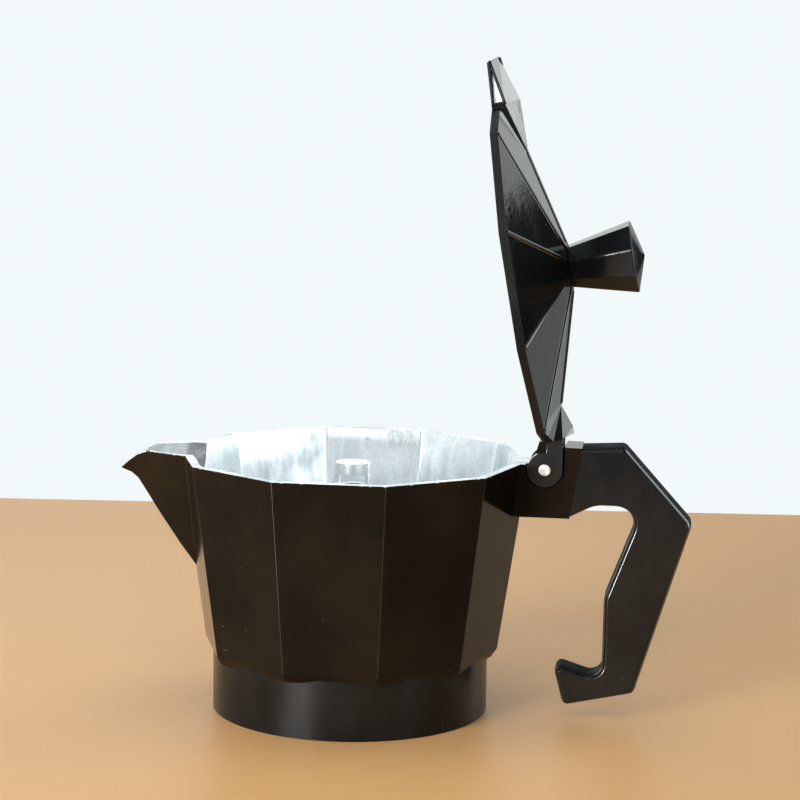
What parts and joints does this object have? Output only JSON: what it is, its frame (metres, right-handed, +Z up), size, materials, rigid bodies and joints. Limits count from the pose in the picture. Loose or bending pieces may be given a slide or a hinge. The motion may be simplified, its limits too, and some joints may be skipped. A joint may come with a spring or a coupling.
{
  "type": "moka pot upper half",
  "caption": "Ten-sided collector jug of a stovetop moka pot on its threaded ring, with V spout, hinged lid standing open, faceted knob and hooked handle.",
  "frame": {"origin": "centre of the lower edge of the threaded ring, on the surface that the part stands on", "axes": "+Z up along the ring's axis, +X towards the handle, -X towards the spout, the hinge pin along Y"},
  "size_m": [0.1766, 0.104, 0.2011],
  "materials": {
    "jug_enamel": "gloss black enamel outside, bare cast aluminium inside and on the rim",
    "lid_enamel": "gloss black enamel outside, bare cast aluminium inside",
    "cast_aluminium": "bare cast aluminium, satin",
    "plain_aluminium": "pressed aluminium, satin",
    "gasket_rubber": "white silicone rubber, matt",
    "knob_bakelite": "moulded black bakelite, semi-gloss",
    "handle_bakelite": "moulded black bakelite, satin",
    "turned_brass": "turned brass",
    "plated_steel": "zinc-plated steel",
    "pin_steel": "bright steel, ends dressed flat"
  },
  "bodies": {
    "jug": {"collector": "jug_enamel", "column": "cast_aluminium", "column_cap": "cast_aluminium", "filter_plate": "plain_aluminium", "gasket": "gasket_rubber", "hinge_pin": "pin_steel", "handle": "handle_bakelite", "handle_screw": "plated_steel", "handle_washer": "plated_steel"},
    "lid": {"lid": "lid_enamel", "knob": "knob_bakelite", "knob_insert": "turned_brass", "knob_washer": "plated_steel", "knob_screw": "plated_steel"}
  },
  "joints": [
    {"name": "lid_hinge", "type": "hinge", "parent": "jug", "child": "lid", "pos_m": [0.0594, 0, 0.0776], "axis": [0, 1, 0], "range_deg": [-79.8, 0]}
  ]
}
